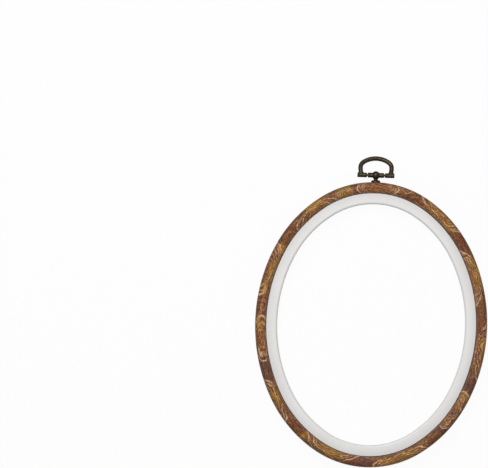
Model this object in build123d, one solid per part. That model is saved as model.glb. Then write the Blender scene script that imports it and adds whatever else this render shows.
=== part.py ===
from build123d import *

import math
import os

# Oval display hoop for embroidery. A soft outer ring is pressed from the front over a rigid
# inner ring and grips the fabric between them. A metal hanger stands on the outer ring's edge.
# Lengths are in millimetres. The hoop lies on its back, with its origin at the centre of the
# oval on the plane that it lies on. +X points right, +Y towards the hanger, +Z out of the front.
# Inward is measured from the outer edge of the outer ring towards the centre of the oval.

# The oval is drawn with eight tangent arcs. Their radii are those of the ellipse of the same
# width and height at these eccentric angles, in degrees from the side of the oval.
end_arc_angle = 79
corner_arc_angle = 47
side_arc_angle = 13

# Outer ring, soft vinyl
outer_half_width = 56.4
outer_half_height = 69.3
rim_width = 5.2
rim_height = 9.0
rim_inner_height = 7.1
outer_shoulder_radius = 2.4
base_round = 0.6

# Inner ring, rigid plastic. The lip at its back stops the outer ring.
ring_gap = 0.2
lip_inward = 3.45
lip_thickness = 1.4
lip_round = 0.3
wall_thickness = 1.6
face_width = 5.35
face_height = 7.0
face_thickness = 1.5
face_outer_round = 0.3
turned_edge_thickness = 1.3
turned_edge_depth = 3.6
turned_edge_round = 1.2
turned_edge_foot_round = 0.4
channel_round = 0.5

# Hanger post, cast metal. It stands square on the outer ring's edge.
post_height = 4.2
pivot_rise = 3.38
foot_radius = 2.2
foot_thickness = 0.9
foot_round = 0.75
neck_radius = 0.95
neck_foot_fillet = 0.28
neck_ball_fillet = 1.0
ball_radius = 1.92
arm_radius = 1.14
arm_half_length = 3.95
arm_chamfer = 0.2
shank_radius = 0.8
shank_length = 4.9
shank_chamfer = 0.2

# Pivot pin, pressed into the bail and free to turn in the post
pin_radius = 0.48
pin_running_clearance = 0.04
pin_press = 0.01
pin_end_chamfer = 0.12

# Bail, cast metal. Reach is measured from the pin's axis, along the plane of the loop.
bail_wire_radius = 1.06
bail_half_width = 7.55
bail_widest_reach = 3.9
bail_reach = 8.74
bail_shoulder_radius = 3.6
bail_leg_radius = 11.8
bail_root_fillet = 0.4
knuckle_radius = 1.1
knuckle_length = 4.6
knuckle_gap = 0.4
knuckle_inner_chamfer = 0.3
knuckle_outer_chamfer = 0.12

# Fixings of the shank, in a pocket on the inside of the outer ring
shank_hole_clearance = 0.05
pocket_radius = 2.2
pocket_depth = 2.15
washer_radius = 2.0
washer_thickness = 0.3
nut_width = 3.2
nut_thickness = 1.3
nut_chamfer = 0.25
thread_clearance = 0.02

# Length by which every cut runs past the face that it starts from
cut_overrun = 1.0

# Places that follow from the sizes above
inner_wall_inward = rim_width + ring_gap
opening_inward = inner_wall_inward + face_width
rim_inner_y = outer_half_height - rim_width
pocket_floor_y = rim_inner_y + pocket_depth
pivot_y = outer_half_height + pivot_rise
knuckle_start = arm_half_length + knuckle_gap
knuckle_end = knuckle_start + knuckle_length

# The loop has swung back until its wire touches the plane that the hoop lies on.
bail_droop = math.degrees(math.asin((post_height - bail_wire_radius) / bail_reach))

nut_sides = 6


def ellipse_radius(angle):
    across = outer_half_width * math.sin(math.radians(angle))
    along = outer_half_height * math.cos(math.radians(angle))
    return math.hypot(across, along) ** 3 / (outer_half_width * outer_half_height)


def oval_joins():
    # The two places in the first quarter of the oval where one arc runs into the next
    end_radius = ellipse_radius(end_arc_angle)
    corner_radius = ellipse_radius(corner_arc_angle)
    side_radius = ellipse_radius(side_arc_angle)
    end_centre = Vector(0, outer_half_height - end_radius)
    side_centre = Vector(outer_half_width - side_radius, 0)

    # Tangent arcs have their centres as far apart as their radii differ.
    from_end = corner_radius - end_radius
    from_side = side_radius - corner_radius
    apart = (side_centre - end_centre).length
    direction = (side_centre - end_centre).normalized()
    along = (from_end**2 - from_side**2 + apart**2) / (2 * apart)
    across = math.sqrt(from_end**2 - along**2)
    corner_centre = end_centre + direction * along + Vector(-direction.Y, direction.X) * across

    end_join = end_centre + (end_centre - corner_centre).normalized() * end_radius
    side_join = side_centre + (corner_centre - side_centre).normalized() * side_radius
    return end_join, side_join


def oval_path():
    # The outer edge of the outer ring, from its top and by way of the left side
    quarter = [(join.X, join.Y) for join in oval_joins()]
    left = [(-x, y) for x, y in quarter] + [(-x, -y) for x, y in reversed(quarter)]
    right = [(-x, -y) for x, y in left]
    top = (0, outer_half_height)
    place = top
    heading = Vector(-1, 0)
    arcs = []
    for following in [*left, *right, top]:
        arcs.append(TangentArc(place, following, tangent=heading))
        place = following
        heading = arcs[-1] % 1
    return Wire(arcs)


def at(inward, height):
    # A point of a ring's section, drawn at the top of the oval
    return (outer_half_height - inward, height)


def carried_round(section):
    # A ring: its section swept once round the oval, from the top
    return sweep(Plane.YZ * section, path=oval_path())


def bar_along_x(radius, start, end, start_chamfer=0, end_chamfer=0):
    # A round bar on the X axis, with its ends chamfered where a size is given
    half_section = Pos(start, 0) * Rectangle(end - start, radius, align=(Align.MIN, Align.MIN))
    for x, size in ((start, start_chamfer), (end, end_chamfer)):
        if size:
            corner = half_section.vertices().sort_by_distance((x, radius, 0))[0]
            half_section = chamfer(corner, size)
    return revolve(half_section, axis=Axis.X)


def column(radius, low, high):
    # Half section of a round column on the Y axis
    return Pos(0, low) * Rectangle(radius, high - low, align=(Align.MIN, Align.MIN))


def on_post(shape):
    # Moves a shape drawn about the origin's Y axis to the axis of the post
    return Pos(0, 0, post_height) * shape


def at_pivot(shape):
    # Moves a shape drawn about the X axis to the axis of the pin
    return Pos(0, pivot_y, post_height) * shape


def outer_ring():
    seat_inward = lip_inward - ring_gap
    foot = at(base_round, 0)
    wall_foot = at(0, base_round)
    wall_top = at(0, rim_height - outer_shoulder_radius)
    crest = at(outer_shoulder_radius, rim_height)
    inner_edge = at(rim_width, rim_inner_height)
    outline = [
        TangentArc(foot, wall_foot, tangent=(1, 0)),
        Line(wall_foot, wall_top),
        TangentArc(wall_top, crest, tangent=(0, 1)),
        TangentArc(crest, inner_edge, tangent=(-1, 0)),
        Polyline(
            inner_edge,
            at(rim_width, lip_thickness),
            at(seat_inward, lip_thickness),
            at(seat_inward, 0),
            foot,
        ),
    ]
    ring = carried_round(make_face(outline))

    hole = column(
        shank_radius + shank_hole_clearance, rim_inner_y, outer_half_height + cut_overrun
    )
    pocket = column(pocket_radius, rim_inner_y - cut_overrun, pocket_floor_y)
    return ring - on_post(revolve(hole + pocket, axis=Axis.Y))


def inner_ring():
    wall_inner = inner_wall_inward + wall_thickness
    edge_outer = opening_inward - turned_edge_thickness
    edge_foot = face_height - turned_edge_depth
    face_back = face_height - face_thickness
    corners = [
        (lip_inward, 0, lip_round),
        (wall_inner, 0, lip_round),
        (wall_inner, face_back, channel_round),
        (edge_outer, face_back, channel_round),
        (edge_outer, edge_foot, turned_edge_foot_round),
        (opening_inward, edge_foot, turned_edge_foot_round),
        (opening_inward, face_height, turned_edge_round),
        (inner_wall_inward, face_height, face_outer_round),
        (inner_wall_inward, lip_thickness, 0),
        (lip_inward, lip_thickness, lip_round),
    ]
    outline = FilletPolyline(
        [at(inward, height) for inward, height, _ in corners],
        radius=[rounding for _, _, rounding in corners],
        close=True,
    )
    return carried_round(make_face(outline))


def hanger_post():
    seat = outer_half_height
    foot_top = seat + foot_thickness
    shank_end = seat - shank_length
    neck_top = pivot_y - math.sqrt(ball_radius**2 - neck_radius**2)
    ball = Pos(0, pivot_y) * Circle(ball_radius)
    ball = ball & column(ball_radius, seat, pivot_y + ball_radius)
    profile = column(shank_radius, shank_end, seat) + column(foot_radius, seat, foot_top)
    profile = profile + column(neck_radius, seat, pivot_y) + ball
    for x, y, rounding in (
        (neck_radius, foot_top, neck_foot_fillet),
        (neck_radius, neck_top, neck_ball_fillet),
        (foot_radius, foot_top, foot_round),
    ):
        corner = profile.vertices().sort_by_distance((x, y, 0))[0]
        profile = fillet(corner, rounding)
    shank_corner = profile.vertices().sort_by_distance((shank_radius, shank_end, 0))[0]
    profile = chamfer(shank_corner, shank_chamfer)
    post = on_post(revolve(profile, axis=Axis.Y))

    arms = bar_along_x(arm_radius, -arm_half_length, arm_half_length, arm_chamfer, arm_chamfer)
    bore_end = arm_half_length + cut_overrun
    bore = bar_along_x(pin_radius + pin_running_clearance, -bore_end, bore_end)
    return post + at_pivot(arms) - at_pivot(bore)


def loop_path():
    # Each side is a leg and a shoulder, joined by the crown. Every arc is tangent to the next.
    shoulder_x = bail_half_width - bail_shoulder_radius
    crown_rise = bail_reach - bail_widest_reach
    crown_radius = (shoulder_x**2 + crown_rise**2 - bail_shoulder_radius**2) / (
        2 * (crown_rise - bail_shoulder_radius)
    )
    to_shoulder = Vector(shoulder_x, bail_widest_reach - bail_reach + crown_radius).normalized()
    join = Vector(shoulder_x, bail_widest_reach) + to_shoulder * bail_shoulder_radius
    leg_lean = bail_leg_radius - math.sqrt(bail_leg_radius**2 - bail_widest_reach**2)
    arcs = [ThreePointArc(join, (0, bail_reach), (-join.X, join.Y))]
    for side in (1, -1):
        widest = (side * bail_half_width, bail_widest_reach)
        root = (side * (bail_half_width - leg_lean), 0)
        arcs.append(TangentArc(widest, root, tangent=(0, -1)))
        arcs.append(TangentArc(widest, (side * join.X, join.Y), tangent=(0, 1)))
    return Wire(arcs)


def bail():
    path = loop_path()
    wire_section = Plane(origin=path @ 0, z_dir=path % 0) * Circle(bail_wire_radius)
    loop = sweep(wire_section, path=path)
    knuckle = bar_along_x(
        knuckle_radius, knuckle_start, knuckle_end, knuckle_inner_chamfer, knuckle_outer_chamfer
    )
    loop = loop + knuckle + mirror(knuckle, about=Plane.YZ)
    # The only free-form edges are those where the legs meet the knuckles.
    loop = fillet(loop.edges().filter_by(GeomType.BSPLINE), bail_root_fillet)
    bore_end = knuckle_end + cut_overrun
    loop = loop - bar_along_x(pin_radius - pin_press, -bore_end, bore_end)
    return at_pivot(Rot(X=-bail_droop) * loop)


def pivot_pin():
    pin = bar_along_x(pin_radius, -knuckle_end, knuckle_end, pin_end_chamfer, pin_end_chamfer)
    return at_pivot(pin)


def shank_washer():
    bottom = pocket_floor_y - washer_thickness
    disc = column(washer_radius, bottom, pocket_floor_y)
    hole = column(shank_radius + shank_hole_clearance, bottom, pocket_floor_y)
    return on_post(revolve(disc - hole, axis=Axis.Y))


def shank_nut():
    top = pocket_floor_y - washer_thickness
    bottom = top - nut_thickness
    corner_radius = nut_width / 2 / math.cos(math.pi / nut_sides)
    hexagon = RegularPolygon(nut_width / 2, nut_sides, major_radius=False)
    prism = extrude(Plane(origin=(0, bottom, 0), z_dir=(0, 1, 0)) * hexagon, nut_thickness)
    turned = column(corner_radius, bottom, top)
    for y in (bottom, top):
        corner = turned.vertices().sort_by_distance((corner_radius, y, 0))[0]
        turned = chamfer(corner, nut_chamfer)
    bore = column(shank_radius + thread_clearance, bottom - cut_overrun, top + cut_overrun)
    return on_post((prism & revolve(turned, axis=Axis.Y)) - revolve(bore, axis=Axis.Y))


os.makedirs("parts", exist_ok=True)
for make in (
    outer_ring,
    inner_ring,
    hanger_post,
    bail,
    pivot_pin,
    shank_washer,
    shank_nut,
):
    export_step(make(), f"parts/{make.__name__}.step")
    print("wrote", make.__name__)
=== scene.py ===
import math

import bmesh
import bpy
from mathutils import Matrix, Vector


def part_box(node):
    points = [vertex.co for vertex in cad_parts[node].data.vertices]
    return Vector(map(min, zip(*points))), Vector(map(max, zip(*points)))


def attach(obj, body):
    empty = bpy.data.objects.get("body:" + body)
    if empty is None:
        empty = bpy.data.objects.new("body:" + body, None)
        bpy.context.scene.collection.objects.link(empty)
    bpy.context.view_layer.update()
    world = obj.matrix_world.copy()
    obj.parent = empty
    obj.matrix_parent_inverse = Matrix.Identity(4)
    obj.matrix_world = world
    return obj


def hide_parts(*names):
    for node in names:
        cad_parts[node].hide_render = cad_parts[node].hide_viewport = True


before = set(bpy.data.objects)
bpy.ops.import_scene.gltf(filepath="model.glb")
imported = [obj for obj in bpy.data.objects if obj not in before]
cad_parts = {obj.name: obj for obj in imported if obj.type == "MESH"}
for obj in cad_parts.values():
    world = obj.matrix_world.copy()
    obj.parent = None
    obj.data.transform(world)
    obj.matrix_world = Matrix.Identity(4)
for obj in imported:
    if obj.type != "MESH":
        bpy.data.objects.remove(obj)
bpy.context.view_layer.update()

# Oval display hoop for embroidery, lying on its back. Sizes below are in millimetres where
# nothing else is said, and mm turns them into the scene's metres.
mm = 0.001

picture = {
    "size": (488, 468),             # pixels
    "ovalCentre": (370.95, 324.63),  # where the centre of the oval lies, in pixels
    "mmPerPixel": 0.4866,
    "leanDegrees": 1.85,            # the hoop leans clockwise
    "cameraHeight": 4000,           # far off, as the rings show no perspective
    "sensor": 36,
    "farClip": 20,                  # metres
}

studio = {
    "overhead": 0.90,               # strength of the sky at its brightest
    "horizon": 0.10,                # and low down
    "skyAxis": (-0.05, 0.18, 0.98),  # the sky is brightest in this direction
    "skyFade": (0.05, 0.95),        # and brightens between these cosines of the angle from it
    "keyDirection": (-0.24, 0.54, 0.88),
    "keyDistance": 0.6,             # metres
    "keySize": 0.25,                # metres
    "keyWatts": 1.46,
    "floorSize": 8.0,               # metres
    "floorColour": (222, 222, 222),
    "floorGlow": 0.95,              # share of plain white that the camera sees in the floor
    "floorDrop": 0.06,              # the floor lies this far under the hoop
}


def linear(colour):
    # Colours are chosen as 0 to 255 values, as a paint program shows them
    shares = [part / 255 for part in colour]
    return [s / 12.92 if s <= 0.04045 else ((s + 0.055) / 1.055) ** 2.4 for s in shares]


def rgba(colour):
    return (*linear(colour), 1)


def setUpCamera():
    scale = picture["mmPerPixel"]
    lean = math.radians(picture["leanDegrees"])
    right = Vector((math.cos(lean), math.sin(lean), 0))
    up = Vector((-math.sin(lean), math.cos(lean), 0))
    width, height = picture["size"]
    across = (width / 2 - picture["ovalCentre"][0]) * scale
    along = (picture["ovalCentre"][1] - height / 2) * scale
    eye = right * across + up * along + Vector((0, 0, picture["cameraHeight"]))

    data = bpy.data.cameras.new("camera")
    data.sensor_width = picture["sensor"]
    data.lens = picture["sensor"] * picture["cameraHeight"] / (width * scale)
    data.clip_end = picture["farClip"]
    camera = bpy.data.objects.new("camera", data)
    camera.location = eye * mm
    camera.rotation_euler = (0, 0, lean)
    bpy.context.scene.collection.objects.link(camera)
    bpy.context.scene.camera = camera


def seenDirectly(tree):
    # 1 for rays from the camera, and for those that metal and glass send on
    path = tree.nodes.new("ShaderNodeLightPath")
    total = path.outputs["Is Camera Ray"]
    for name in ("Is Glossy Ray", "Is Transmission Ray"):
        total = mathStep(tree, "MAXIMUM", total, path.outputs[name])
    return total


def setUpLight():
    # A soft sky, brightest overhead and a little towards the hanger
    world = bpy.data.worlds.new("studio")
    world.use_nodes = True
    bpy.context.scene.world = world
    tree = world.node_tree
    background = tree.nodes["Background"]
    background.inputs["Color"].default_value = (1, 1, 1, 1)
    direction = tree.nodes.new("ShaderNodeTexCoord").outputs["Generated"]
    cosine = vectorStep(tree, "DOT_PRODUCT", direction, Vector(studio["skyAxis"]).normalized())
    strength = rampStep(tree, cosine, *studio["skyFade"], studio["horizon"], studio["overhead"])
    tree.links.new(strength, background.inputs["Strength"])

    data = bpy.data.lights.new("key", "AREA")
    data.shape = "DISK"
    data.size = studio["keySize"]
    data.energy = studio["keyWatts"]
    key = bpy.data.objects.new("key", data)
    direction = Vector(studio["keyDirection"]).normalized()
    key.location = direction * studio["keyDistance"]
    key.rotation_euler = direction.to_track_quat("Z", "Y").to_euler()
    bpy.context.scene.collection.objects.link(key)


def setUpFloor():
    half = studio["floorSize"] / 2
    low = -studio["floorDrop"] * mm
    mesh = bpy.data.meshes.new("floor")
    corners = [(x, y, low) for x, y in ((-half, -half), (half, -half), (half, half), (-half, half))]
    mesh.from_pydata(corners, [], [(0, 1, 2, 3)])
    floor = bpy.data.objects.new("floor", mesh)
    bpy.context.scene.collection.objects.link(floor)

    paint = bpy.data.materials.new("floorPaint")
    paint.use_nodes = True
    tree = paint.node_tree
    tree.nodes.clear()
    matt = tree.nodes.new("ShaderNodeBsdfDiffuse")
    matt.inputs["Color"].default_value = rgba(studio["floorColour"])
    white = tree.nodes.new("ShaderNodeEmission")
    mixed = tree.nodes.new("ShaderNodeMixShader")
    output = tree.nodes.new("ShaderNodeOutputMaterial")
    glow = mathStep(tree, "MULTIPLY", seenDirectly(tree), studio["floorGlow"])
    tree.links.new(glow, mixed.inputs[0])
    tree.links.new(matt.outputs[0], mixed.inputs[1])
    tree.links.new(white.outputs[0], mixed.inputs[2])
    tree.links.new(mixed.outputs[0], output.inputs["Surface"])
    mesh.materials.append(paint)


# Small helpers for material nodes

def plug(tree, value, socket):
    if isinstance(value, bpy.types.NodeSocket):
        tree.links.new(value, socket)
    else:
        socket.default_value = value


def mathStep(tree, operation, *values):
    node = tree.nodes.new("ShaderNodeMath")
    node.operation = operation
    for value, socket in zip(values, node.inputs):
        plug(tree, value, socket)
    return node.outputs[0]


def vectorStep(tree, operation, *values):
    node = tree.nodes.new("ShaderNodeVectorMath")
    node.operation = operation
    for value, socket in zip(values, node.inputs):
        plug(tree, value, socket)
    return node.outputs["Value" if operation in ("LENGTH", "DOT_PRODUCT") else "Vector"]


def mixVectors(tree, share, low, high):
    node = tree.nodes.new("ShaderNodeMix")
    node.data_type = "VECTOR"
    plug(tree, share, node.inputs[0])
    plug(tree, low, node.inputs[4])
    plug(tree, high, node.inputs[5])
    return node.outputs[1]


def mixColours(tree, share, low, high, blend="MIX"):
    node = tree.nodes.new("ShaderNodeMix")
    node.data_type = "RGBA"
    node.blend_type = blend
    plug(tree, share, node.inputs[0])
    plug(tree, low, node.inputs[6])
    plug(tree, high, node.inputs[7])
    return node.outputs[2]


def rampStep(tree, value, low, high, start=0.0, end=1.0, smooth=True):
    # Runs from start to end as value goes from low to high
    node = tree.nodes.new("ShaderNodeMapRange")
    if smooth:
        node.interpolation_type = "SMOOTHSTEP"
    for amount, socket in zip((value, low, high, start, end), node.inputs):
        plug(tree, amount, socket)
    return node.outputs[0]


def product(tree, *values):
    total = values[0]
    for value in values[1:]:
        total = mathStep(tree, "MULTIPLY", total, value)
    return total


def band(tree, value, middle, halfWidth, softness=0.5):
    # 1 where value is near middle, falling to 0 at halfWidth from it
    off = mathStep(tree, "ABSOLUTE", mathStep(tree, "SUBTRACT", value, middle))
    return rampStep(tree, off, halfWidth, halfWidth * (1 - softness))


def noiseStep(tree, place, scale, stretch=(1, 1, 1), shift=(0, 0, 0), detail=2.0, roughness=0.5):
    mapping = tree.nodes.new("ShaderNodeMapping")
    plug(tree, place, mapping.inputs["Vector"])
    mapping.inputs["Scale"].default_value = stretch
    mapping.inputs["Location"].default_value = shift
    node = tree.nodes.new("ShaderNodeTexNoise")
    tree.links.new(mapping.outputs[0], node.inputs["Vector"])
    node.inputs["Scale"].default_value = scale
    node.inputs["Detail"].default_value = detail
    node.inputs["Roughness"].default_value = roughness
    return node.outputs[0]


def joinXYZ(tree, x, y, z):
    node = tree.nodes.new("ShaderNodeCombineXYZ")
    for value, socket in zip((x, y, z), node.inputs):
        plug(tree, value, socket)
    return node.outputs[0]


def splitXYZ(tree, vector):
    node = tree.nodes.new("ShaderNodeSeparateXYZ")
    tree.links.new(vector, node.inputs[0])
    return node.outputs


def newMaterial(name):
    material = bpy.data.materials.new(name)
    material.use_nodes = True
    tree = material.node_tree
    return material, tree, tree.nodes["Principled BSDF"]


def addBump(tree, shader, height, strength, distance):
    bump = tree.nodes.new("ShaderNodeBump")
    bump.inputs["Strength"].default_value = strength
    bump.inputs["Distance"].default_value = distance * mm
    plug(tree, height, bump.inputs["Height"])
    tree.links.new(bump.outputs[0], shader.inputs["Normal"])


def placeInMm(tree):
    place = tree.nodes.new("ShaderNodeTexCoord").outputs["Object"]
    return vectorStep(tree, "MULTIPLY", place, (1 / mm, 1 / mm, 1 / mm))


def grainPlace(tree):
    # The way round the oval and the way over a ring's section, in millimetres
    uv = tree.nodes.new("ShaderNodeUVMap")
    uv.uv_map = "grainMap"
    along, across, _ = splitXYZ(tree, uv.outputs[0])
    return along, across


# The oval: eight tangent arcs, with the radii of an ellipse at three eccentric angles

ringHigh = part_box("outer_ring")[1]
oval = {
    "halfWidth": ringHigh.x / mm,
    "halfHeight": ringHigh.y / mm,
    "endAngle": 79,                 # degrees
    "cornerAngle": 47,
    "sideAngle": 13,
    "step": 0.9,                    # length of a mesh face along the oval
}


def ellipseRadius(degrees):
    across = oval["halfWidth"] * math.sin(math.radians(degrees))
    along = oval["halfHeight"] * math.cos(math.radians(degrees))
    return math.hypot(across, along) ** 3 / (oval["halfWidth"] * oval["halfHeight"])


def quarterArcs():
    # Centre, radius and normal angles of the three arcs from the right side to the top
    sideRadius = ellipseRadius(oval["sideAngle"])
    cornerRadius = ellipseRadius(oval["cornerAngle"])
    endRadius = ellipseRadius(oval["endAngle"])
    sideCentre = Vector((oval["halfWidth"] - sideRadius, 0))
    endCentre = Vector((0, oval["halfHeight"] - endRadius))
    fromEnd = cornerRadius - endRadius
    fromSide = sideRadius - cornerRadius
    apart = sideCentre - endCentre
    along = (fromEnd**2 - fromSide**2 + apart.length**2) / (2 * apart.length)
    across = math.sqrt(fromEnd**2 - along**2)
    direction = apart.normalized()
    cornerCentre = endCentre + direction * along + Vector((-direction.y, direction.x)) * across
    toCorner = cornerCentre - sideCentre
    toEnd = endCentre - cornerCentre
    sideTurn = math.atan2(toCorner.y, toCorner.x)
    cornerTurn = math.atan2(toEnd.y, toEnd.x)
    return [
        (sideCentre, sideRadius, 0, sideTurn),
        (cornerCentre, cornerRadius, sideTurn, cornerTurn),
        (endCentre, endRadius, cornerTurn, math.pi / 2),
    ]


def ovalStations():
    # Points round the outer edge, counter-clockwise from the right side, each with its
    # outward normal and its distance along the edge
    stations = []
    gone = 0
    for quarter in range(4):
        signX = 1 if quarter in (0, 3) else -1
        signY = 1 if quarter in (0, 1) else -1
        arcs = quarterArcs()
        forward = quarter % 2 == 0
        for centre, radius, start, end in arcs if forward else reversed(arcs):
            length = radius * (end - start)
            count = round(length / oval["step"])
            for k in range(count):
                share = k / count if forward else 1 - k / count
                turn = start + (end - start) * share
                normal = Vector((signX * math.cos(turn), signY * math.sin(turn)))
                point = Vector((signX * centre.x, signY * centre.y)) + normal * radius
                stations.append((point, normal, gone + length * k / count))
            gone += length
    return stations, gone


stations, ovalLength = ovalStations()
print("oval", len(stations), "stations,", round(ovalLength, 2), "mm round")


def roundedSection(corners, arcStep):
    # corners are (inward, height, radius), and arcStep is the turn from one point of a round to
    # the next, in degrees. Returns the points of the closed section.
    points = []
    fewest = 2                      # pieces of a round
    count = len(corners)
    for k, (x, y, radius) in enumerate(corners):
        here = Vector((x, y))
        if not radius:
            points.append(here)
            continue
        before = (Vector(corners[k - 1][:2]) - here).normalized()
        after = (Vector(corners[(k + 1) % count][:2]) - here).normalized()
        half = before.angle(after) / 2
        centre = here + (before + after).normalized() * (radius / math.sin(half))
        first = here + before * (radius / math.tan(half)) - centre
        last = here + after * (radius / math.tan(half)) - centre
        sweep = math.pi - 2 * half
        turning = 1 if first.x * last.y - first.y * last.x > 0 else -1
        pieces = max(fewest, math.ceil(math.degrees(sweep) / arcStep))
        for n in range(pieces + 1):
            angle = turning * sweep * n / pieces
            turned = Vector((
                first.x * math.cos(angle) - first.y * math.sin(angle),
                first.x * math.sin(angle) + first.y * math.cos(angle),
            ))
            points.append(centre + turned)
    return points


def ringMesh(name, section, origin):
    # Carries a section round the oval. The UV map holds the way round the oval and the way
    # over the section from the point of index origin, both in millimetres.
    over = [0]
    for k in range(1, len(section) + 1):
        over.append(over[-1] + (section[k % len(section)] - section[k - 1]).length)
    over = [length - over[origin] for length in over]

    build = bmesh.new()
    rows = []
    for point, normal, _ in stations:
        row = []
        for inward, height in section:
            place = point - normal * inward
            row.append(build.verts.new((place.x, place.y, height)))
        rows.append(row)
    grain = build.loops.layers.uv.new("grainMap")
    for i, row in enumerate(rows):
        following = rows[(i + 1) % len(rows)]
        u0 = stations[i][2]
        u1 = stations[i + 1][2] if i + 1 < len(stations) else ovalLength
        for k in range(len(section)):
            n = (k + 1) % len(section)
            face = build.faces.new((row[k], following[k], following[n], row[n]))
            places = ((u0, over[k]), (u1, over[k]), (u1, over[k + 1]), (u0, over[k + 1]))
            for loop, place in zip(face.loops, places):
                loop[grain].uv = place
    bmesh.ops.recalc_face_normals(build, faces=build.faces)
    return pieceFrom(build, name)


def pieceFrom(build, name):
    mesh = bpy.data.meshes.new(name)
    build.to_mesh(mesh)
    build.free()
    piece = bpy.data.objects.new(name, mesh)
    bpy.context.scene.collection.objects.link(piece)
    return piece


def applyModifier(piece, kind, **settings):
    modifier = piece.modifiers.new(kind.lower(), kind)
    for key, value in settings.items():
        setattr(modifier, key, value)
    bpy.context.view_layer.update()
    shaped = piece.evaluated_get(bpy.context.evaluated_depsgraph_get())
    mesh = bpy.data.meshes.new_from_object(shaped)
    piece.modifiers.clear()
    old = piece.data
    piece.data = mesh
    bpy.data.meshes.remove(old)
    mesh.name = piece.name


def finishPiece(piece, sharpDegrees=40):
    # Marks the sharp edges, smooths the rest, and goes from millimetres to metres
    build = bmesh.new()
    build.from_mesh(piece.data)
    for face in build.faces:
        face.smooth = True
    for edge in build.edges:
        sharp = len(edge.link_faces) == 2 and edge.calc_face_angle() > math.radians(sharpDegrees)
        edge.smooth = not sharp
    build.to_mesh(piece.data)
    build.free()
    piece.data.transform(Matrix.Scale(mm, 4))
    piece.data.update()


hanger = {
    "height": 4.2,                  # its axis over the plane that the hoop lies on
}


def cylinderAlongY(radius, start, end, sides=64):
    # A cutter round the hanger's axis
    build = bmesh.new()
    bmesh.ops.create_cone(build, cap_ends=True, segments=sides, radius1=radius, radius2=radius,
                          depth=end - start)
    turn = Matrix.Rotation(math.radians(90), 4, "X")
    move = Matrix.Translation((0, (start + end) / 2, hanger["height"]))
    bmesh.ops.transform(build, matrix=move @ turn, verts=build.verts)
    return pieceFrom(build, "cutter")


def cutAway(piece, cutter):
    applyModifier(piece, "BOOLEAN", object=cutter, operation="DIFFERENCE", solver="EXACT")
    bpy.data.objects.remove(cutter)


# Outer ring: soft vinyl with a printed wood grain

outerRing = {
    "rimWidth": 5.2,
    "rimHeight": ringHigh.z / mm,
    "innerHeight": 7.1,
    "shoulderRadius": 2.4,
    "baseRound": 0.6,
    "innerEdgeRound": 0.2,
    "seatHeight": 1.4,
    "seatInward": 3.25,
    "fabricGap": 0.2,               # between it and the inner ring, where the fabric is gripped
    "holeRadius": 0.85,             # for the hanger's shank
    "pocketRadius": 2.2,            # for its nut
    "pocketDepth": 2.15,
    "cutOverrun": 1,                # how far the cutters reach past the ring
}


def outerSection():
    size = outerRing
    # The crown falls from the crest to the inner edge on one arc
    run = size["rimWidth"] - size["shoulderRadius"]
    fall = size["rimHeight"] - size["innerHeight"]
    crownRadius = (run**2 + fall**2) / (2 * fall)
    steep = math.asin(run / crownRadius)
    crownCorner = size["shoulderRadius"] + crownRadius * math.tan(steep / 2)
    return roundedSection([
        (0, 0, size["baseRound"]),
        (0, size["rimHeight"], size["shoulderRadius"]),
        (crownCorner, size["rimHeight"], crownRadius),
        (size["rimWidth"], size["innerHeight"], size["innerEdgeRound"]),
        (size["rimWidth"], size["seatHeight"], 0),
        (size["seatInward"], size["seatHeight"], 0),
        (size["seatInward"], 0, 0),
    ], arcStep=7)


def makeOuterRing():
    section = outerSection()
    crest = max(range(len(section)), key=lambda k: (round(section[k].y, 4), -section[k].x))
    ring = ringMesh("outerRingPrinted", section, crest)
    outside = oval["halfHeight"]
    inside = outside - outerRing["rimWidth"]
    start = inside - outerRing["cutOverrun"]
    cutAway(ring, cylinderAlongY(outerRing["holeRadius"], start, outside + outerRing["cutOverrun"]))
    cutAway(ring, cylinderAlongY(outerRing["pocketRadius"], start, inside + outerRing["pocketDepth"]))
    finishPiece(ring)
    ring.data.materials.append(printedVinyl())
    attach(ring, "outer_hoop")
    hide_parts("outer_ring")
    print("outer ring", len(ring.data.polygons), "faces")


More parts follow.
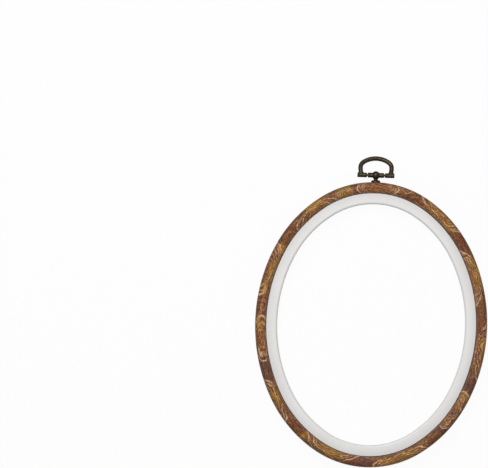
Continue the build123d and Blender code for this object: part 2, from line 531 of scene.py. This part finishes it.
# Printed grain. Each eye or patch is (along, across, half length, half width) on the grain map,
# in millimetres. Along runs from the right side counter-clockwise. Across is 0 at the crest, and
# positive towards the inner edge. A ramp holds low, high, start and end for rampStep, or low and
# high alone where it runs from 0 to 1.
woodPrint = {
    "eyes": [
        (27, 4.2, 15, 6.5), (63, -4, 13, 6.5), (99, 0.3, 10.5, 4.2), (134, 4, 13.5, 6),
        (172, -3.8, 14, 6.5), (207, 0.6, 11.5, 4.2), (239, -4, 12.5, 6), (277, 4, 16, 6.5),
        (315, -3.6, 14.5, 6.5), (352, 2, 11.5, 5.5), (386, -4, 15, 6.5),
        (78, 3.5, 3.5, 2), (84, -1.5, 4, 2), (116, 3, 4, 4.5), (343.5, 2.5, 3, 2.5),
        (190, 0.5, 3.5, 1.8), (29, -9.5, 13, 4.3), (99, -9.5, 14, 4.6), (134, -9, 12, 4),
        (205, -9.5, 13, 4.5), (277, -9.5, 15, 4.8), (350, -9.8, 13, 4.6),
    ],
    "purplePatches": [
        (222.5, 0, 6, 6), (295, 0, 5.5, 6), (340.5, 1, 2.6, 4), (367.5, 0, 6, 6), (351, 0.5, 3, 2.5),
    ],
    "redPatches": [
        (1, 0, 4, 4), (45.5, 0, 5.5, 5), (77, 1.5, 4, 2.5), (105.5, 0, 3.5, 4), (148, 0, 5.5, 6),
        (187, 0, 4.5, 4), (255.5, 0, 4.5, 5), (291, 0, 4, 5), (165, -1.5, 2.5, 2),
    ],
    "goldPatches": [
        (29.5, -1.2, 10, 3.4), (57, 0.5, 5, 2.5), (67, 0, 6, 2.6), (116.5, 0, 4.5, 3.5),
        (133, -0.8, 8, 2.8), (161, 1, 3, 3), (171, 1.5, 7, 2.6), (181.5, 0, 3, 2.2),
        (200, 0, 4, 1.8), (237, 0, 7, 2.2), (261.5, 0, 1.5, 4), (278, 0.8, 10, 2.6),
        (308, -0.5, 5, 2.2), (319, -0.5, 8, 3.6), (361, 1, 3, 2.2), (388, -1.8, 6, 2.2),
    ],
    "spotReach": 1.6,               # a spot matters within this many half lengths of its centre
    "slip": -0.8,                   # moves the whole print along the ring
    "sway": {"slow": 2.5, "drift": 1.8, "wobble": 0.8},  # the noises move it by up to this
    "lineSpacing": 0.95,            # between growth lines along the sides of an eye
    "lineShift": 5.0,               # an eye's own fraction moves its lines by up to this many
    "lineSway": {"clouds": 1.2, "fibres": 0.35},  # and the noises by up to this many
    "lineSeed": 91,                 # keeps the line strengths of two eyes apart
    "outerArc": (0.98, 0.045),      # middle and half width of the arc, in shares of the eye's size
    "innerArc": (0.70, 0.035),
    "strengths": {"orange": 0.7, "threads": 0.55, "paleLines": 0.92, "arcs": 0.95},
    # Of each noise: its repeats per mm along and across, its shift, detail and roughness
    "noises": {
        "slow": (0.09, 0.16, (0, 0, 0), 1, 0.5),
        "drift": (0.12, 0.22, (31, 7, 3), 1, 0.5),
        "wobble": (0.42, 0.70, (5, 17, 9), 2, 0.6),
        "fibres": (0.25, 2.0, (3, 0, 0), 3, 0.65),
        "threads": (0.16, 0.90, (13, 6, 1), 2, 0.55),
        "pores": (0.70, 5.0, (11, 5, 2), 1, 0.5),
        "clouds": (0.10, 0.22, (2, 9, 4), 2, 0.5),
        "broken": (0.34, 0.75, (8, 2, 6), 3, 0.6),
        "hues": (0.16, 0.40, (1, 4, 12), 2, 0.5),
        "grit": (0.90, 1.30, (4, 8, 15), 2, 0.6),
        "specks": (1.50, 2.60, (7, 3, 19), 1, 0.5),
        "skin": (3.0, 3.0, (0, 0, 0), 2, 0.5),
    },
    # Ramps by which noises lighten and darken the print
    "contrast": {
        "fibres": (0.25, 0.75, 0.62, 1.23),
        "grit": (0.25, 0.75, 0.76, 1.20),
        "specks": (0.30, 0.70, 0.68, 1.28),
    },
    "ramps": {
        "brownFibres": (0.38, 0.62),
        "russet": (0.48, 0.66, 0, 0.5),
        "orangeEye": (1.02, 0.7),   # over the distance from an eye's centre
        "orangeGrit": (0.36, 0.6),
        "patch": (1.15, 0.45),      # over the distance from a patch's centre
        "purpleGrit": (0.3, 0.6, 1.0, 0.65),
        "redGrit": (0.3, 0.6, 0.9, 0.5),
        "goldGrit": (0.3, 0.6, 0.6, 0.95),
        "oliveGold": (0.4, 0.6),
        "thread": (0.022, 0.008),
        "threadGrit": (0.42, 0.58),
        "eyeEnd": (0.55, 0.85),
        "eyeEdge": (1.08, 0.98),    # the growth lines end here
        "eyeMiddle": (0.15, 0.65, 0.25, 1.0),
        "lineStrength": (0.1, 0.8, 0.35, 1.0),
        "lineOnFront": (-6.5, -3.0, 0.6, 1.0),  # fainter on the ring's side
        "paleLine": (0.25, 0.10),
        "paleBreaks": (0.36, 0.56, 0.2, 1.0),
        "strawLines": (0.42, 0.62),
        "darkLine": (0.30, 0.46),
        "darkGrit": (0.35, 0.6, 0.4, 0.9),
        "darkAtEnd": (0, 1, 1.0, 0.4),
        "arcBreaks": (0.4, 0.6, 0.3, 1.0),
        "arcGrit": (0.3, 0.55, 0.6, 1.0),
        # Painted reflection: the inner slope is mixed towards grey, standing in for light from the
        # white ring
        "innerReflectionGrey": (1.2, 3.4, 0, 0.5),
        # Painted light: the inner slope is made up to 14% lighter
        "innerPaintedLight": (1.4, 2.4, 1.0, 1.14),
        # Darker on the outer shoulder: partly the print's own darker edge, partly painted shade
        "outerEdgeAndPaintedShade": (-2.9, -0.3, 0.70, 1.0),
        "pores": (0.56, 0.70, 1.0, 0.55),
        "innerEnd": (4.1, 3.7),     # where the printing fades out
        "outerEnd": (-10.4, -9.9),
        "roughness": (0.3, 0.7, 0.52, 0.42),
    },
    "relief": {"fibres": 0.7, "skin": 0.3},
    "colours": {
        "ochre": (180, 124, 28), "olive": (150, 110, 34), "pale": (212, 172, 136),
        "straw": (202, 156, 108), "orange": (158, 95, 46), "russet": (134, 72, 38),
        "brown": (129, 85, 50), "mahogany": (104, 62, 32), "purple": (99, 63, 56),
        # inner is a painted reflection of the white ring, laid on the print's inner slope
        "red": (117, 62, 38), "dark": (56, 34, 16), "inner": (124, 96, 84), "plain": (92, 58, 40),
    },
}


codeScale = 1000                    # keeps an eye's code small beside a distance
goldenShare = 0.618                 # spreads the eyes' own fractions


def printRamp(tree, value, name):
    return rampStep(tree, value, *woodPrint["ramps"][name])


def wrapped(spot):
    # A spot near the start of the map is also needed past its end, and the other way round
    along, across, length, width = spot
    reach = woodPrint["spotReach"] * length
    shifts = [shift for shift in (0, ovalLength, -ovalLength)
              if -reach < along + shift < ovalLength + reach]
    return [(along + shift, across, length, width) for shift in shifts]


def placeInSpot(tree, place, spot, code=0):
    # The place from the spot's centre, in shares of its half size, with the code as third part
    along, across, length, width = spot
    mapping = tree.nodes.new("ShaderNodeMapping")
    tree.links.new(place, mapping.inputs["Vector"])
    mapping.inputs["Scale"].default_value = (1 / length, 1 / width, 1)
    mapping.inputs["Location"].default_value = (-along / length, -across / width, code)
    return mapping.outputs[0]


def nearestSpot(tree, place, spots):
    # The distance from the nearest spot's centre, and the place in that spot. Its code, times
    # codeScale, is the spot's number of growth lines plus a fraction of its own.
    nearest = None
    for n, spot in enumerate(spots):
        lines = round(spot[3] / woodPrint["lineSpacing"])
        code = (lines + n * goldenShare % 1) / codeScale
        for copy in wrapped(spot):
            inside = placeInSpot(tree, place, copy, code)
            distance = vectorStep(tree, "LENGTH", inside)
            if nearest is None:
                nearest, chosen = distance, inside
                continue
            closer = mathStep(tree, "LESS_THAN", distance, nearest)
            chosen = mixVectors(tree, closer, chosen, inside)
            nearest = mathStep(tree, "MINIMUM", nearest, distance)
    return nearest, chosen


def nearness(tree, place, spots):
    # 1 in the middle of a spot, falling to 0 a little outside it
    nearest = None
    for spot in spots:
        for copy in wrapped(spot):
            distance = vectorStep(tree, "LENGTH", placeInSpot(tree, place, copy))
            nearest = mathStep(tree, "MINIMUM", nearest, distance) if nearest else distance
    return printRamp(tree, nearest, "patch")


def grainNoises(tree, along, across):
    # The noises lie on a tube as long round as the oval, so that they meet where the map ends
    turn = mathStep(tree, "MULTIPLY", along, 2 * math.pi / ovalLength)
    reach = ovalLength / (2 * math.pi)
    roundX = mathStep(tree, "MULTIPLY", mathStep(tree, "COSINE", turn), reach)
    roundY = mathStep(tree, "MULTIPLY", mathStep(tree, "SINE", turn), reach)
    tube = joinXYZ(tree, roundX, roundY, across)
    noises = {}
    for name, (perAlong, perAcross, shift, detail, roughness) in woodPrint["noises"].items():
        stretch = (perAlong, perAlong, perAcross)
        noises[name] = noiseStep(tree, tube, 1, stretch, shift, detail, roughness)
    return noises


def swayed(tree, value, noise, reach):
    # The noise moves the value by up to reach, either way
    return mathStep(tree, "ADD", value, rampStep(tree, noise, 0, 1, -reach, reach, smooth=False))


def printPlace(tree, along, across, noises):
    # The print is laid unevenly, so that its eyes aren't true ovals
    sway = woodPrint["sway"]
    along = mathStep(tree, "SUBTRACT", along, woodPrint["slip"])
    along = swayed(tree, along, noises["slow"], sway["slow"])
    for name in ("drift", "wobble"):
        across = swayed(tree, across, noises[name], sway[name])
    return joinXYZ(tree, along, across, 0.0)


def nearestEye(tree, place):
    distance, inside = nearestSpot(tree, place, woodPrint["eyes"])
    eyeX, _, code = splitXYZ(tree, inside)
    code = mathStep(tree, "MULTIPLY", code, codeScale)
    endShare = mathStep(tree, "DIVIDE", mathStep(tree, "ABSOLUTE", eyeX), distance)
    return {
        "distance": distance,       # from its centre, 1 on its outline
        "lines": mathStep(tree, "FLOOR", code),
        "own": mathStep(tree, "FRACT", code),
        "towardsEnd": printRamp(tree, endShare, "eyeEnd"),  # 1 at its two ends, 0 along its sides
    }


def groundColour(tree, colours, noises, place, eye):
    # Mahogany and brown fibres, orange inside the eyes, and patches of other colours
    grit = noises["grit"]
    strengths = woodPrint["strengths"]
    brown = printRamp(tree, noises["fibres"], "brownFibres")
    body = mixColours(tree, brown, colours["mahogany"], colours["brown"])
    russet = printRamp(tree, noises["broken"], "russet")
    body = mixColours(tree, russet, body, colours["russet"])
    orange = product(tree, printRamp(tree, eye["distance"], "orangeEye"),
                     printRamp(tree, grit, "orangeGrit"), strengths["orange"])
    body = mixColours(tree, orange, body, colours["orange"])
    olive = printRamp(tree, noises["hues"], "oliveGold")
    gilt = mixColours(tree, olive, colours["ochre"], colours["olive"])
    for name, colour in (("purple", colours["purple"]), ("red", colours["red"]), ("gold", gilt)):
        patch = nearness(tree, place, woodPrint[name + "Patches"])
        share = product(tree, patch, printRamp(tree, grit, name + "Grit"))
        body = mixColours(tree, share, body, colour)

    # Pale threads wander along the ring, where their noise crosses its middle
    offMiddle = mathStep(tree, "ABSOLUTE", mathStep(tree, "SUBTRACT", noises["threads"], 0.5))
    thread = product(tree, printRamp(tree, offMiddle, "thread"),
                     printRamp(tree, grit, "threadGrit"), strengths["threads"])
    return mixColours(tree, thread, body, colours["straw"])


def addGrowthLines(tree, body, colours, noises, eye, onFront):
    # Growth lines follow the eyes' outlines. Each has its own strength, and breaks up in places.
    # They fade towards the middle of an eye.
    phase = mathStep(tree, "MULTIPLY", eye["distance"], eye["lines"])
    phase = mathStep(tree, "ADD", phase, mathStep(tree, "MULTIPLY", eye["own"], woodPrint["lineShift"]))
    for name, reach in woodPrint["lineSway"].items():
        phase = swayed(tree, phase, noises[name], reach)
    # 0 in the middle of a pale line, 0.5 in the middle of a dark one
    wave = mathStep(tree, "ABSOLUTE", mathStep(tree, "SUBTRACT", mathStep(tree, "FRACT", phase), 0.5))

    chance = tree.nodes.new("ShaderNodeTexWhiteNoise")
    chance.noise_dimensions = "1D"
    seed = mathStep(tree, "MULTIPLY", eye["own"], woodPrint["lineSeed"])
    tree.links.new(mathStep(tree, "ADD", mathStep(tree, "FLOOR", phase), seed), chance.inputs["W"])
    strength = printRamp(tree, chance.outputs["Value"], "lineStrength")
    inside = product(tree, printRamp(tree, eye["distance"], "eyeEdge"),
                     printRamp(tree, eye["distance"], "eyeMiddle"))

    paleLine = product(tree, printRamp(tree, wave, "paleLine"),
                       printRamp(tree, noises["broken"], "paleBreaks"),
                       strength, inside, onFront, woodPrint["strengths"]["paleLines"])
    straw = printRamp(tree, noises["hues"], "strawLines")
    lineColour = mixColours(tree, straw, colours["pale"], colours["straw"])
    body = mixColours(tree, paleLine, body, lineColour)

    darkLine = product(tree, printRamp(tree, wave, "darkLine"),
                       printRamp(tree, noises["grit"], "darkGrit"),
                       inside, printRamp(tree, eye["towardsEnd"], "darkAtEnd"))
    return mixColours(tree, darkLine, body, colours["dark"])


def addEndArcs(tree, body, colours, noises, eye, onFront):
    # Pale arcs close the ends of each eye, and fainter ones lie inside them
    outer = band(tree, eye["distance"], *woodPrint["outerArc"])
    inner = product(tree, band(tree, eye["distance"], *woodPrint["innerArc"]),
                    printRamp(tree, noises["broken"], "arcBreaks"))
    arcs = product(tree, mathStep(tree, "MAXIMUM", outer, inner), eye["towardsEnd"],
                   printRamp(tree, noises["grit"], "arcGrit"),
                   onFront, woodPrint["strengths"]["arcs"])
    return mixColours(tree, arcs, body, colours["pale"])


def finishPrintWithPaintedShading(tree, body, colours, noises, across):
    # Fibres and pores lie over everything. The inner slope gets a painted grey reflection and painted
    # light, and the outer shoulder is darker, partly from the print's own edge and partly from painted
    # shade
    # Painted reflection of the white ring: the inner slope is mixed towards grey
    body = mixColours(tree, printRamp(tree, across, "innerReflectionGrey"), body, colours["inner"])
    shades = []
    for name, ramp in woodPrint["contrast"].items():
        shades.append(rampStep(tree, noises[name], *ramp, smooth=False))
    shades.append(printRamp(tree, noises["pores"], "pores"))
    # Painted light on the inner slope
    shades.append(printRamp(tree, across, "innerPaintedLight"))
    # Darker outer shoulder: partly the print's own edge, partly painted shade
    shades.append(printRamp(tree, across, "outerEdgeAndPaintedShade"))
    grainAndPaintedShading = product(tree, *shades)
    body = mixColours(tree, 1.0, body, joinXYZ(tree, grainAndPaintedShading, grainAndPaintedShading, grainAndPaintedShading), "MULTIPLY")

    # The print ends under the ring and inside it, where the vinyl is plain
    printed = product(tree, printRamp(tree, across, "innerEnd"), printRamp(tree, across, "outerEnd"))
    return mixColours(tree, printed, colours["plain"], body)


def printedVinyl():
    material, tree, shader = newMaterial("printedVinyl")
    colours = {name: rgba(colour) for name, colour in woodPrint["colours"].items()}
    along, across = grainPlace(tree)
    noises = grainNoises(tree, along, across)
    place = printPlace(tree, along, across, noises)
    eye = nearestEye(tree, place)
    onFront = printRamp(tree, across, "lineOnFront")
    body = groundColour(tree, colours, noises, place, eye)
    body = addGrowthLines(tree, body, colours, noises, eye, onFront)
    body = addEndArcs(tree, body, colours, noises, eye, onFront)
    body = finishPrintWithPaintedShading(tree, body, colours, noises, across)

    tree.links.new(body, shader.inputs["Base Color"])
    tree.links.new(printRamp(tree, noises["fibres"], "roughness"), shader.inputs["Roughness"])
    shader.inputs["Specular IOR Level"].default_value = 0.2
    heights = [product(tree, noises[name], share) for name, share in woodPrint["relief"].items()]
    addBump(tree, shader, mathStep(tree, "ADD", *heights), strength=0.25, distance=0.08)
    return material


# Inner ring: rigid white plastic

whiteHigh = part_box("inner_ring")[1]
innerRing = {
    "lipInward": 3.45,
    "lipThickness": 1.4,
    "lipRound": 0.3,
    "wallInward": outerRing["rimWidth"] + outerRing["fabricGap"],
    "wallThickness": 1.6,
    "faceWidth": 5.35,
    "faceHeight": whiteHigh.z / mm,
    "faceThickness": 1.5,
    "edgeThickness": 1.3,
    "edgeDepth": 3.6,
    "edgeRound": 1.2,
    "footRound": 0.4,
    "channelRound": 0.5,
    "outerRound": 0.15,
    # The first colour is painted shade, where the outer ring stands over the face
    "rimShadeColour": (212, 211, 209),
    "openingColour": (226, 225, 223),
    # Painted shade on the turned edge at the opening
    "lipShadeColour": (217, 216, 214),
    "rimShadeWidth": 4.0,             # the painted shade by the outer ring fades out over this width
    "cloudShare": 0.25,             # of the lift out of that painted shade that is left to soft clouds
    "lipFade": 0.5,                 # the painted shade on the turned edge is full this far before the face's corner
    "cloudScale": 0.07,             # the noises' repeats per mm
    "polishScale": 0.3,
    "skinScale": 0.8,
    "clouds": (0.35, 0.65),         # ramps
    "roughness": (0.3, 0.7, 0.32, 0.42),
}


def innerSection():
    size = innerRing
    wallInside = size["wallInward"] + size["wallThickness"]
    opening = size["wallInward"] + size["faceWidth"]
    edgeOutside = opening - size["edgeThickness"]
    edgeFoot = size["faceHeight"] - size["edgeDepth"]
    faceBack = size["faceHeight"] - size["faceThickness"]
    return roundedSection([
        (size["lipInward"], 0, size["lipRound"]),
        (size["lipInward"], size["lipThickness"], size["lipRound"]),
        (size["wallInward"], size["lipThickness"], 0),
        (size["wallInward"], size["faceHeight"], size["outerRound"]),
        (opening, size["faceHeight"], size["edgeRound"]),
        (opening, edgeFoot, size["footRound"]),
        (edgeOutside, edgeFoot, size["footRound"]),
        (edgeOutside, faceBack, size["channelRound"]),
        (wallInside, faceBack, size["channelRound"]),
        (wallInside, 0, size["lipRound"]),
    ], arcStep=12)


def whitePlastic():
    # Painted shade: darker next to the outer ring and brighter towards the opening, then a little
    # darker again on the turned edge, also as painted shade
    size = innerRing
    material, tree, shader = newMaterial("whitePlastic")
    place = placeInMm(tree)
    across = grainPlace(tree)[1]
    clouds = noiseStep(tree, place, size["cloudScale"], detail=3)
    polish = noiseStep(tree, place, size["polishScale"], detail=4)
    skin = noiseStep(tree, place, size["skinScale"], detail=3)
    cloudLight = rampStep(tree, clouds, *size["clouds"], 0, size["cloudShare"])
    # Painted shade next to the outer ring, fading towards the opening; the clouds are the plastic's own
    # uneven tone, and the sum is how far the face comes out of the painted shade
    rimShadeFade = rampStep(tree, across, 0, size["rimShadeWidth"], 0, 1 - size["cloudShare"])
    light = mathStep(tree, "ADD", rimShadeFade, cloudLight)
    tone = mixColours(tree, light, rgba(size["rimShadeColour"]), rgba(size["openingColour"]))
    lipStart = size["faceWidth"] - size["edgeThickness"]
    lipFull = size["faceWidth"] - size["lipFade"]
    # Painted shade on the turned edge
    lipShade = rampStep(tree, across, lipStart, lipFull)
    tone = mixColours(tree, lipShade, tone, rgba(size["lipShadeColour"]))
    tree.links.new(tone, shader.inputs["Base Color"])
    tree.links.new(rampStep(tree, polish, *size["roughness"]), shader.inputs["Roughness"])
    addBump(tree, shader, skin, strength=0.06, distance=0.05)
    return material


def makeInnerRing():
    section = innerSection()
    tolerance = 0.001
    faceHeight = innerRing["faceHeight"] - tolerance
    faceStart = next(k for k, point in enumerate(section) if point.y > faceHeight)
    ring = ringMesh("innerRingMoulded", section, faceStart)
    finishPiece(ring)
    ring.data.materials.append(whitePlastic())
    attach(ring, "inner_hoop")
    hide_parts("inner_ring")
    print("inner ring", len(ring.data.polygons), "faces")


# Metal

antiquePlate = {
    # The deep colour is the dark plating and also painted shade on the sides; the worn colour is wear
    # and also painted light on faces that look up
    "deepPlatingAndShade": (24, 21, 16),
    "wornAndLitColour": (78, 71, 57),
    "edgeColour": (146, 134, 104),
    "pitColour": (24, 20, 15),
    "flatAngleTint": (70, 62, 52),
    "edgeWear": 0.5,
    "pitShare": 0.7,
    "stainScale": 0.9,              # the noises' repeats per mm
    "gritScale": 4.0,
    "relief": {"stain": 0.6, "grit": 0.4},
    "facing": (0.35, 0.95),         # ramps, this one over how far a face looks up, for painted light on faces that look up and painted shade on the sides
    "stains": (0.35, 0.6, 0.35, 1.0),
    "edges": (0.51, 0.58),
    "pits": (0.56, 0.68),
    "roughness": (0.3, 0.7, 0.50, 0.32),
}

platedSteels = {
    # The darkest and the lightest colour of each
    "pinSteel": ((52, 47, 41), (84, 78, 70)),
    "zincPlate": ((168, 170, 172), (200, 200, 196)),
    "stainScale": 1.4,
    "scratchScale": 3.0,
    "scratchStretch": (6, 0.6, 6),
    "stains": (0.3, 0.7),           # ramps
    "roughness": (0.3, 0.7, 0.26, 0.42),
}


def antiqueMetal():
    # Dark plating, worn brighter on raised edges. Faces that look up are brighter and the sides darker:
    # partly wear, partly painted light and painted shade
    plate = antiquePlate
    material, tree, shader = newMaterial("antiqueMetal")
    place = placeInMm(tree)
    geometry = tree.nodes.new("ShaderNodeNewGeometry")
    facing = tree.nodes.new("ShaderNodeTexCoord").outputs["Normal"]
    upward = mathStep(tree, "ABSOLUTE", splitXYZ(tree, facing)[2])
    stain = noiseStep(tree, place, plate["stainScale"], detail=4, roughness=0.6)
    grit = noiseStep(tree, place, plate["gritScale"], shift=(3, 5, 1), detail=3, roughness=0.6)
    # Painted light on faces that look up and painted shade on the sides, broken up by stains
    wornAndLitFront = product(tree, rampStep(tree, upward, *plate["facing"]),
                   rampStep(tree, stain, *plate["stains"]))
    edges = rampStep(tree, geometry.outputs["Pointiness"], *plate["edges"])
    edges = product(tree, edges, plate["edgeWear"])
    pits = product(tree, rampStep(tree, grit, *plate["pits"]), plate["pitShare"])
    tone = mixColours(tree, wornAndLitFront, rgba(plate["deepPlatingAndShade"]), rgba(plate["wornAndLitColour"]))
    tone = mixColours(tree, edges, tone, rgba(plate["edgeColour"]))
    tone = mixColours(tree, pits, tone, rgba(plate["pitColour"]))
    tree.links.new(tone, shader.inputs["Base Color"])
    shader.inputs["Metallic"].default_value = 0.8
    # The plating keeps its sides dark: little light comes back at a flat angle
    shader.inputs["Specular Tint"].default_value = rgba(plate["flatAngleTint"])
    shader.inputs["Specular IOR Level"].default_value = 0.2
    tree.links.new(rampStep(tree, stain, *plate["roughness"]), shader.inputs["Roughness"])
    stainHeight = product(tree, stain, plate["relief"]["stain"])
    gritHeight = product(tree, grit, plate["relief"]["grit"])
    relief = mathStep(tree, "ADD", stainHeight, gritHeight)
    addBump(tree, shader, relief, strength=0.35, distance=0.06)
    return material


def platedSteel(name):
    plate = platedSteels
    dark, light = plate[name]
    material, tree, shader = newMaterial(name)
    place = placeInMm(tree)
    stain = noiseStep(tree, place, plate["stainScale"], detail=3)
    scratches = noiseStep(tree, place, plate["scratchScale"], plate["scratchStretch"], detail=2)
    tone = mixColours(tree, rampStep(tree, stain, *plate["stains"]), rgba(dark), rgba(light))
    tree.links.new(tone, shader.inputs["Base Color"])
    shader.inputs["Metallic"].default_value = 1.0
    tree.links.new(rampStep(tree, scratches, *plate["roughness"]), shader.inputs["Roughness"])
    addBump(tree, shader, scratches, strength=0.2, distance=0.02)
    return material


castPieces = {
    "grain": 0.075,                 # size of the faces
    "smoothing": 0.5,               # strength of one round of smoothing
    "rounds": 3,
    "plating": 0.05,                # thickness that the plating adds
    "sharpDegrees": 60,             # edges that turn by more stay sharp
}


def makeCastPiece(name, node, body, metal):
    # The node's solid, with its edges and junctions softened as on a small casting
    piece = bpy.data.objects.new(name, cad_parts[node].data.copy())
    bpy.context.scene.collection.objects.link(piece)
    piece.data.name = name
    piece.data.materials.clear()
    piece.data.transform(Matrix.Scale(1 / mm, 4))
    applyModifier(piece, "REMESH", mode="VOXEL", voxel_size=castPieces["grain"])
    applyModifier(piece, "SMOOTH", factor=castPieces["smoothing"], iterations=castPieces["rounds"])
    applyModifier(piece, "DISPLACE", strength=castPieces["plating"], mid_level=0)
    finishPiece(piece, castPieces["sharpDegrees"])
    piece.data.materials.append(metal)
    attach(piece, body)
    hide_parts(node)
    print(name, len(piece.data.polygons), "faces")


def dressNode(node, material):
    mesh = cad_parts[node].data
    mesh.materials.clear()
    mesh.materials.append(material)
    print(node, "dressed in", material.name)


setUpCamera()
setUpLight()
setUpFloor()
print("camera, light and floor set up")
makeOuterRing()
makeInnerRing()
bronze = antiqueMetal()
makeCastPiece("hangerPostCast", "hanger_post", "outer_hoop", bronze)
makeCastPiece("bailCast", "bail", "bail_loop", bronze)
dressNode("pivot_pin", platedSteel("pinSteel"))
zinc = platedSteel("zincPlate")
dressNode("shank_washer", zinc)
dressNode("shank_nut", zinc)

bpy.context.scene.view_settings.view_transform = "Standard"
